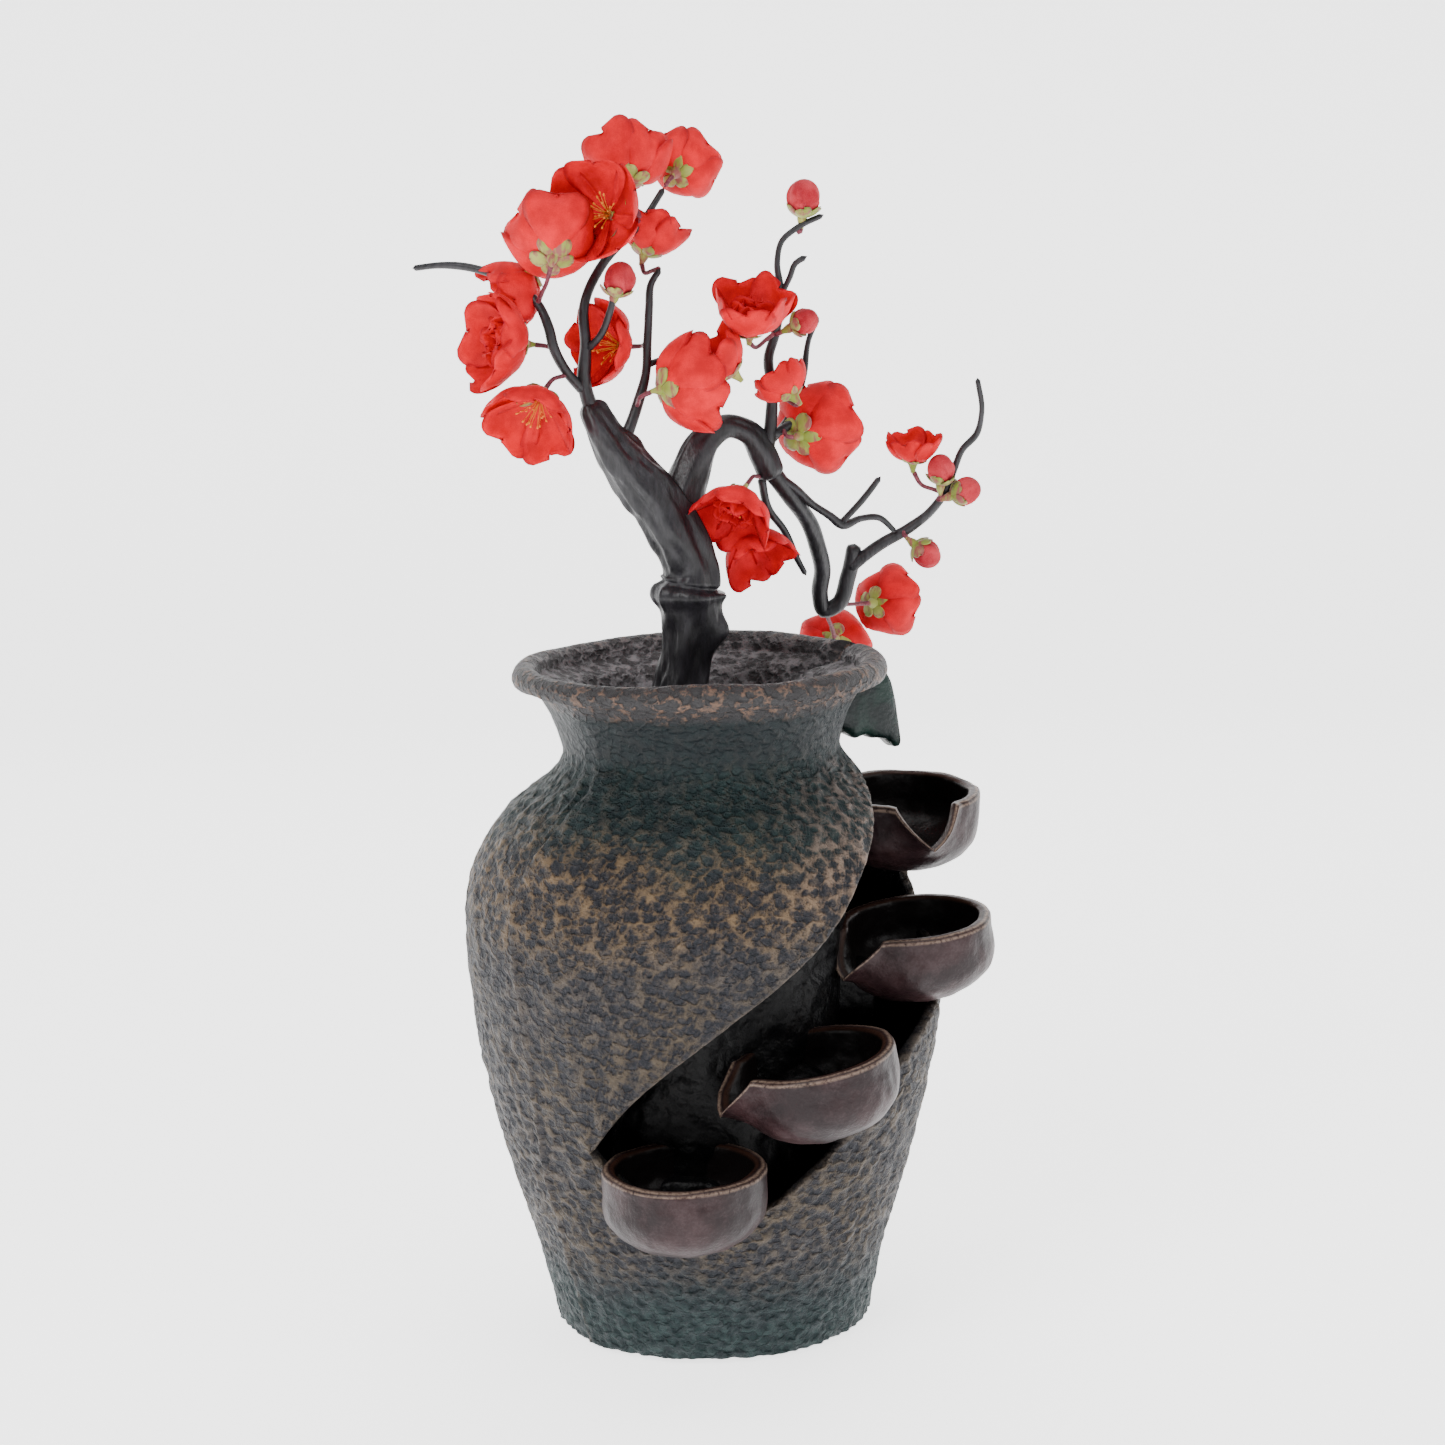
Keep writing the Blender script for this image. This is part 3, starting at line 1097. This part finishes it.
def petal(length, width, rise, curl, cup, ruffle, seed):
    """Points [rows, columns, 3] of a petal along +X, with +Z towards the bloom's face.

    Along it, the slope is rise + curl v. Across it, the half width is width times a curve that
    is narrow at the base and round at the end, and the height is cup u u."""
    rows, half = 15, 11
    v = np.linspace(0, 1, rows)[:, None]
    u = np.concatenate([np.linspace(-1, 1, half), np.linspace(1, -1, half)[1:-1]])[None, :]
    side = np.concatenate([np.ones(half), -np.ones(half - 2)])[None, :]
    grow = 0.18 + 0.82 * np.sin(np.pi / 2 * np.clip(v / 0.55, 0, 1)) ** 1.3
    close = np.sqrt(np.clip(1 - (np.clip(v - 0.5, 0, 1) / 0.5) ** 2.2, 0, 1))
    w = width * grow * close
    slope = rise + curl * v
    step = length / (rows - 1)
    run = np.cumsum(np.cos(slope), axis=0) * step - np.cos(slope[:1]) * step
    lift = np.cumsum(np.sin(slope), axis=0) * step - np.sin(slope[:1]) * step
    phase = 6.28 * hashed(seed, 61)
    notch = 0.05 * length * np.exp(-(u / 0.3) ** 2) * smoothstep(0.7, 1, v)
    wave = ruffle * length * np.sin(7 * u + phase) * smoothstep(0.35, 1, v) * (0.4 + 0.6 * u * u)
    fold = 0.02 * length * np.cos(11 * u + phase) * smoothstep(0.1, 0.5, v) * (1 - v)
    twist = 0.16 * (hashed(seed, 62) - 0.5) * v * length
    height = lift + cup * w * u * u + wave + fold + twist * u
    body = side * SILK_HALF * (1 - u ** 4) * smoothstep(0, 0.1, v) * close
    x = run - notch + 0 * u - np.sin(slope) * body
    z = height + np.cos(slope) * body
    return np.stack([x, w * u, z], -1)


def bloom_axes(facing):
    """Three directions: across, across, and the way that a bloom faces."""
    d = np.array(facing, float)
    d /= np.linalg.norm(d)
    a = np.cross(d, [0, 1, 0] if abs(d[1]) < 0.95 else [1, 0, 0])
    a /= np.linalg.norm(a)
    return np.stack([a, np.cross(d, a), d])


def whorl(count, turn, start, seed, **shape):
    """Petals side by side round the bloom's axis, every other one a little further out."""
    parts = []
    for k in range(count):
        h = hashed(seed, k)
        points = petal(seed=seed * 31 + k, **{**shape, "rise": shape["rise"] + 0.22 * (h - 0.5)})
        points = points * (1 + 0.08 * (hashed(seed, k, 5) - 0.5))
        points[..., 0] += start
        points[..., 2] += (0.5 * (k % 2) + 0.3 * (k % 3)) * points[..., 0] / shape["length"] * 2
        angle = turn + 2 * np.pi * (k + 0.12 * (h - 0.5)) / count
        quads = grid_faces(*points.shape[:2])[:, ::-1]
        points = faced(points[..., 0], points[..., 1], points[..., 2], angle)
        parts.append((points.reshape(-1, 3), quads))
    return parts


def silk_paint(name, deep, bright, sheen_tint):
    """Woven silk: fine threads over a cloudy tone, faint veins, and a soft sheen."""
    paint = Paint(name, Sheen_Weight=0.06, Sheen_Roughness=0.4, Specular_IOR_Level=0.15,
                  Subsurface_Weight=0.12, Subsurface_Scale=0.003)
    paint.shader.inputs["Sheen Tint"].default_value = (*sheen_tint, 1)
    cloth = paint.noise(130, 3)
    thread = paint.noise(2600, 2, 0.6)
    vein = paint.cells(260, "DISTANCE_TO_EDGE", stretch=(1, 1, 0.4))
    colour = paint.mix((cloth * 0.8 + thread * 0.3).step(0.35, 0.8), deep, bright)
    return paint.finish(colour, 0.72 - thread * 0.12, thread * 0.5 + cloth * 1.5 + vein,
                        0.0003, 0.4)


def calyx_paint():
    """Lime sepals with pink streaks."""
    paint = Paint("calyx_silk", Specular_IOR_Level=0.3, Sheen_Weight=0.2)
    streak = paint.noise(330, 3, 0.6, stretch=(1, 1, 0.35))
    cloud = paint.noise(120, 2)
    colour = paint.mix(cloud.step(0.35, 0.7), (0.20, 0.25, 0.030), (0.36, 0.37, 0.085))
    colour = paint.mix(streak.step(0.46, 0.62) * 0.85, colour, (0.26, 0.030, 0.060))
    return paint.finish(colour, 0.6 - streak * 0.1, streak, 0.0003, 0.5)


def stalk_paint():
    """Wine-coloured flocked stalks."""
    paint = Paint("stalk_silk", Specular_IOR_Level=0.3)
    grain = paint.noise(900, 3)
    colour = paint.mix(grain.step(0.35, 0.7), (0.10, 0.018, 0.030), (0.22, 0.05, 0.07))
    return paint.finish(colour, 0.6 - grain * 0.1, grain, 0.0003, 0.5)


def stamen_paint():
    """Yellow threads with orange tips."""
    paint = Paint("stamens", Specular_IOR_Level=0.3)
    grain = paint.noise(1500, 2)
    thread = paint.mix(grain, (0.70, 0.30, 0.035), (0.85, 0.42, 0.06))
    colour = paint.mix(paint.layer("tip"), thread, (0.75, 0.22, 0.02))
    return paint.finish(colour, 0.55 - grain * 0.1, grain, 0.0002, 0.4)


RED_SILK = silk_paint("red_silk", (0.46, 0.001, 0.006), (0.80, 0.004, 0.016), (1, 0.3, 0.3))
BUD_SILK = silk_paint("bud_silk", (0.30, 0.006, 0.016), (0.60, 0.050, 0.065), (1, 0.5, 0.5))
CALYX, STALK, STAMEN = calyx_paint(), stalk_paint(), stamen_paint()

# %% Where each blossom sits
# Middle of the cup from the vase's mouth, the way it faces, radius, cup depth
BLOSSOMS = [
    [[-52, -26, 164], [0.0, 0.8, 0.55], 19, 0.62],
    [[-32, -19, 177], [-0.45, -0.85, 0.2], 20, 0.45],
    [[-23, 6, 193], [-0.1, 0.6, 0.75], 17, 0.62],
    [[-3, 22, 193], [0.3, 0.9, 0.3], 14, 0.62],
    [[-16, 12, 165], [0.3, 0.2, 0.9], 14, 0.70],
    [[-65, -4, 151], [-0.7, -0.2, -0.6], 15, 0.62],
    [[-70, -18, 128], [-0.85, -0.45, 0.1], 19, 0.60],
    [[-60, -26, 103], [-0.3, -0.6, -0.7], 19, 0.55],
    [[-31, 4, 125], [-0.7, -0.6, 0.1], 17, 0.50],
    [[-6, -9, 109], [0.8, 0.4, 0.1], 19, 0.65],
    [[13, -2, 117], [-0.5, -0.1, 0.5], 14, 0.70],
    [[24, 0, 134], [0.1, -0.4, 0.9], 16, 0.75],
    [[38, 6, 106], [-0.5, 0.3, 0.6], 11, 0.60],
    [[46, 26, 87], [0.5, 0.8, 0.1], 19, 0.60],
    [[17, -8, 62], [-0.3, -0.5, -0.6], 16, 0.65],
    [[23, 8, 44], [0.3, -0.4, -0.7], 15, 0.65],
    [[77, 82, 9], [0.5, 0.85, -0.1], 15, 0.62],
    [[58, 90, -9], [0.0, 0.9, -0.35], 16, 0.62],
    [[90, 44, 76], [0.0, -0.2, 1.0], 11, 0.60],
]
ROUTE_POINTS = np.concatenate([LEFT, LEFT_TIP, LEFT_BUD, CENTRE, CENTRE_SIDE, UPRIGHT,
                               UPRIGHT_LOW, UPRIGHT_SIDE, UPRIGHT_STUB, HANGING, HANGING_END,
                               FORK, FORK_UP, FORK_DOWN])[:, :3]
FULL_BLOOMS = {7: 3, 10: 2, 12: 4, 13: 2, 15: 3, 5: 2}
OPEN_FACES = (2, 8, 9, 15)


def to_place(parts, axes, base):
    """Points of a bloom from its own axes to the vase's."""
    points, quads = join(parts)
    return points @ axes + base, quads


def stalk_tube(calyx, axes, reach):
    """A short bent stalk from the nearest twig to the back of the bloom."""
    root = ROUTE_POINTS[np.argmin(np.linalg.norm(ROUTE_POINTS - calyx, axis=1))]
    bend = (calyx - reach * axes[2]) * 0.7 + root * 0.3
    route = [[*root, 1.0], [*((root + bend) / 2), 0.85], [*bend, 0.85], [*calyx, 1.1]]
    return tube(route, 10, 1.0, 0.05)


def receptacle(radius):
    """The little cone behind the sepals, as a turned profile."""
    r = np.array([0, 0.9, 1.2, 1.9, radius, radius * 0.9, 0])
    z = np.array([-5.2, -5.0, -3.5, -1.6, -0.3, 0.3, 0.5])
    a = np.linspace(0, 2 * np.pi, 20, endpoint=False)
    points = turned(r[:, None], a, np.repeat(z[:, None], 20, 1))
    return points.reshape(-1, 3), grid_faces(len(r), 20)


def stamens(radius, count, seed):
    """Thin bent threads that spread as a cone, each with a small bead at its end."""
    a = np.linspace(0, 2 * np.pi, 5, endpoint=False)[None, :]
    thin = np.array([0, 0.17, 0.16, 0.15, 0.14, 0.13, 0.42, 0.45, 0])[:, None]
    along = np.array([0, 0, 0.25, 0.5, 0.75, 0.92, 0.95, 1.02, 1.05])[:, None]
    parts = []
    for k in range(count):
        turn = 2.399 * k
        lean = 0.15 + 0.55 * hashed(seed, k, 1)
        tall = radius * (0.42 + 0.2 * hashed(seed, k, 2))
        out = along * tall * np.sin(lean * (0.6 + 0.5 * along))
        up = along * tall * np.cos(lean)
        spread = 0.25 * np.sqrt(k + 0.5)
        x = (out + spread) * np.cos(turn) + thin * np.cos(a)
        y = (out + spread) * np.sin(turn) + thin * np.sin(a)
        points = np.stack([x, y, up + 0 * a + 0.5], -1)
        parts.append((points.reshape(-1, 3), grid_faces(9, 5)))
    tip = np.tile(np.repeat(np.arange(9) >= 6, 5), count)
    return parts, tip


def blossom(number, middle, facing, radius, depth):
    """Whorls of petals, a calyx, a stalk and, in an open bloom, stamens. The outer petals are as
    long as the slant of a cone with the bloom's radius and depth."""
    axes = bloom_axes(facing)
    rise_all = radius * depth
    base = np.array(middle, float) - axes[2] * rise_all / 2
    place = base + [0, 0, RIM_TOP]
    name = f"blossom_{number:02d}"
    long = np.hypot(radius, rise_all) * 0.98
    slope = np.arctan2(rise_all, radius)
    turn = 6.28 * hashed(number, 71)
    parts = whorl(5, turn, 1.0, number, length=long * 1.16, width=long * 0.60,
                  rise=slope - 0.68, curl=1.6, cup=0.62, ruffle=0.018)
    for layer in range(1, FULL_BLOOMS.get(number, 1)):
        shrink = 0.86 - 0.17 * layer
        parts += whorl(4 if layer > 1 else 5, turn + 0.63 * layer, 0.6, number * 7 + layer,
                       length=long * shrink, width=long * shrink * 0.62,
                       rise=slope + 0.22 * layer - 0.1, curl=1.1, cup=0.42, ruffle=0.045)
    silk = make_piece(name + "_petals", *to_place(parts, axes, place), RED_SILK, "branch",
                      "red_silk")
    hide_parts(name)
    sepals = whorl(5, turn + 0.6, 0.8, number + 50, length=radius * 0.46, width=radius * 0.2,
                   rise=slope - 0.72, curl=0.75, cup=0.2, ruffle=0.05)
    sepals = [(points - [0, 0, 0.9], quads) for points, quads in sepals] + [receptacle(2.6)]
    make_piece(name + "_calyx", *to_place(sepals, axes, place), CALYX, "branch", "bud_silk")
    stalk = stalk_tube(base - 4 * axes[2], axes, 5)
    make_piece(name + "_stalk", *stalk, STALK, "branch", "bud_silk")
    if number in OPEN_FACES or number in FULL_BLOOMS:
        threads, tip = stamens(radius, 18, number)
        points, quads = to_place(threads, axes, place)
        make_piece(name + "_stamens", points, quads, STAMEN, "branch", "bud_silk", tip=tip)


for number, row in enumerate(BLOSSOMS, 1):
    blossom(number, *row)
print("blossoms:", len(BLOSSOMS))

# %% Buds
BUDS = [[[46, 17, 180], [0.1, -0.1, 1], 6.5], [[45, 16, 132], [0.9, -0.1, 0.4], 5],
    [[101, 40, 69], [0, -0.2, 1], 5.5], [[111, 42, 60], [0.9, 0, 0.3], 5.5],
    [[95, 48, 34], [0.7, 0, -0.6], 5.5], [[-27, -18, 151], [0.3, -0.2, 0.9], 6]]


def bud_ball(radius, turn):
    """Closed bud: an egg whose radius steps back at five edges that wind up to the tip,
    radius * sin(pi t)^0.9 * (0.9 + 0.2 * share of the way across a petal)."""
    t = np.linspace(0, 1, 25)[:, None]
    around = np.arange(60)[None, :] / 60
    across = (around * 5 + 1.1 * t + turn) % 1
    r = radius * np.sin(np.pi * t) ** 0.9 * (0.9 + 0.2 * across * np.sin(np.pi * t))
    up = radius * (1.1 - 1.15 * np.cos(np.pi * t)) + 0 * around
    return turned(r, 2 * np.pi * around, up).reshape(-1, 3), grid_faces(25, 60)


def bud(number, middle, facing, radius):
    """A closed ball of petals held by five sepals."""
    axes = bloom_axes(facing)
    base = np.array(middle, float) - axes[2] * radius
    place = base + [0, 0, RIM_TOP]
    silk = make_piece(f"bud_{number}_petals", *to_place([bud_ball(radius, number * 0.3)], axes,
                      place), BUD_SILK, "branch", "bud_silk")
    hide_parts("small_buds")
    sepals = whorl(5, number + 0.6, 0.6, number + 90, length=radius * 1.25,
                   width=radius * 0.55, rise=0.0, curl=1.05, cup=0.35, ruffle=0.05)
    sepals = [(points - [0, 0, 0.6], quads) for points, quads in sepals] + [receptacle(2.0)]
    make_piece(f"bud_{number}_calyx", *to_place(sepals, axes, place), CALYX, "branch", "bud_silk")
    stalk = stalk_tube(base - 3.5 * axes[2], axes, 4)
    make_piece(f"bud_{number}_stalk", *stalk, STALK, "branch", "bud_silk")


for number, row in enumerate(BUDS, 1):
    bud(number, *row)
print("buds:", len(BUDS))

# %% [markdown]
# ## Parts that stay as in the frame
# The basin, the base, the pump and the door keep their own shapes and get materials of their own.

# %% Materials of the kept parts
def plain_paint(name, dark, light, rough, scale=600, depth=0.0002, metal=0.0, **fixed):
    """Moulded or turned material: two close tones mixed by fine grain."""
    paint = Paint(name, **fixed)
    grain = paint.noise(scale, 4, 0.6)
    cloud = paint.noise(scale / 12, 2)
    colour = paint.mix((grain * 0.6 + cloud * 0.4).step(0.3, 0.7), dark, light)
    paint.shader.inputs["Metallic"].default_value = metal
    return paint.finish(colour, rough - grain * 0.15, grain, depth, 0.5)


def sponge_paint():
    """Open-celled foam: deep round pores."""
    paint = Paint("sponge")
    pore = paint.cells(900)
    colour = paint.mix(pore.step(0.1, 0.6), (0.010, 0.010, 0.011), (0.070, 0.070, 0.075))
    return paint.finish(colour, 0.95 - pore * 0.1, pore, 0.0008, 1.0)


def basin_paint():
    """The basin in the mouth: grey-brown paint over rough resin."""
    paint = Paint("basin_resin", Specular_IOR_Level=0.4)
    mark = paint.cells(210)
    grain = paint.noise(700, 4, 0.6)
    worn = (grain * 0.5 + mark * 0.6 + paint.noise(70, 2) * 0.4).step(0.65, 0.95)
    colour = paint.mix(worn * 0.5, (0.028, 0.026, 0.026), (0.090, 0.080, 0.072))
    return paint.finish(colour, 0.6 - grain * 0.15, mark + grain * 0.4, 0.0009, 0.7)


KEPT = {
    "upper_basin": basin_paint(),
    "rear_door": vase_paint("hammered_door"),
    "base_plate": plain_paint("base_plastic", (0.010, 0.010, 0.011), (0.022, 0.022, 0.024), 0.55),
    "reservoir_tub": plain_paint("tub_plastic", (0.014, 0.016, 0.017), (0.03, 0.032, 0.035), 0.5),
    "rubber_feet": plain_paint("black_rubber", (0.008, 0.008, 0.008), (0.02, 0.02, 0.02), 0.8),
    "base_screws": plain_paint("steel", (0.45, 0.45, 0.46), (0.62, 0.62, 0.63), 0.4, 1500,
                               0.0001, 1.0),
    "jamb_magnets": plain_paint("nickel", (0.55, 0.53, 0.50), (0.70, 0.68, 0.65), 0.35, 1500,
                                0.0001, 1.0),
    "riser_tube": plain_paint("clear_tube", (0.60, 0.63, 0.64), (0.72, 0.75, 0.76), 0.3, 300,
                              0.0001, 0.0, Transmission_Weight=0.75),
    "pump_housing": plain_paint("pump_plastic", (0.008, 0.008, 0.009), (0.02, 0.02, 0.022), 0.5),
    "intake_sponge": sponge_paint(),
    "flow_knob": plain_paint("pale_plastic", (0.42, 0.42, 0.40), (0.55, 0.55, 0.53), 0.5),
    "tree_plug": plain_paint("plug_plastic", (0.012, 0.012, 0.013), (0.03, 0.03, 0.033), 0.5),
}
SAME_AS = {
    "rubber_feet": ("riser_grommet", "cord_grommet", "suction_cups"),
    "base_screws": ("impeller_shaft",),
    "jamb_magnets": ("door_magnets", "rotor_magnet"),
    "pump_housing": ("impeller_cover", "intake_grille", "shaft_bushes", "riser_cap"),
    "flow_knob": ("impeller",),
}
for node, material in KEPT.items():
    for other in (node, *SAME_AS.get(node, ())):
        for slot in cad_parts[other].material_slots:
            slot.material = material
print("kept parts:", len(KEPT) + sum(map(len, SAME_AS.values())))

# %% [markdown]
# ## Floor, sizes and the end
# The floor is only a stage. Both boxes, of the frame and of what is seen, are written down so
# that they can be compared.

# %% Floor, sizes and the end
floor_paint = Paint("studio_floor", Emission_Strength=2.3)
floor_paint.shader.inputs["Emission Color"].default_value = (1, 1, 1, 1)
floor_tone = floor_paint.noise(3, 2)
floor_material = floor_paint.finish(floor_paint.mix(floor_tone, (0.93, 0.93, 0.93),
                                                    (0.96, 0.96, 0.96)), 0.9 - floor_tone * 0.05)
across, along = np.meshgrid(np.linspace(-6, 6, 17), np.linspace(-8, 4.5, 57))
bend = np.clip(along - 1.2, 0, None)
rise = np.where(bend < 0.9, 0.55 * bend ** 2, 0.4455 + 0.99 * (bend - 0.9)) - 0.0006
sweep = np.stack([across, along - 0.35 * bend, rise], -1).reshape(-1, 3) / MM
floor = make_piece("floor", sweep, grid_faces(57, 17, False), floor_material, None, None,
                   seam=False)

print("boxes written")
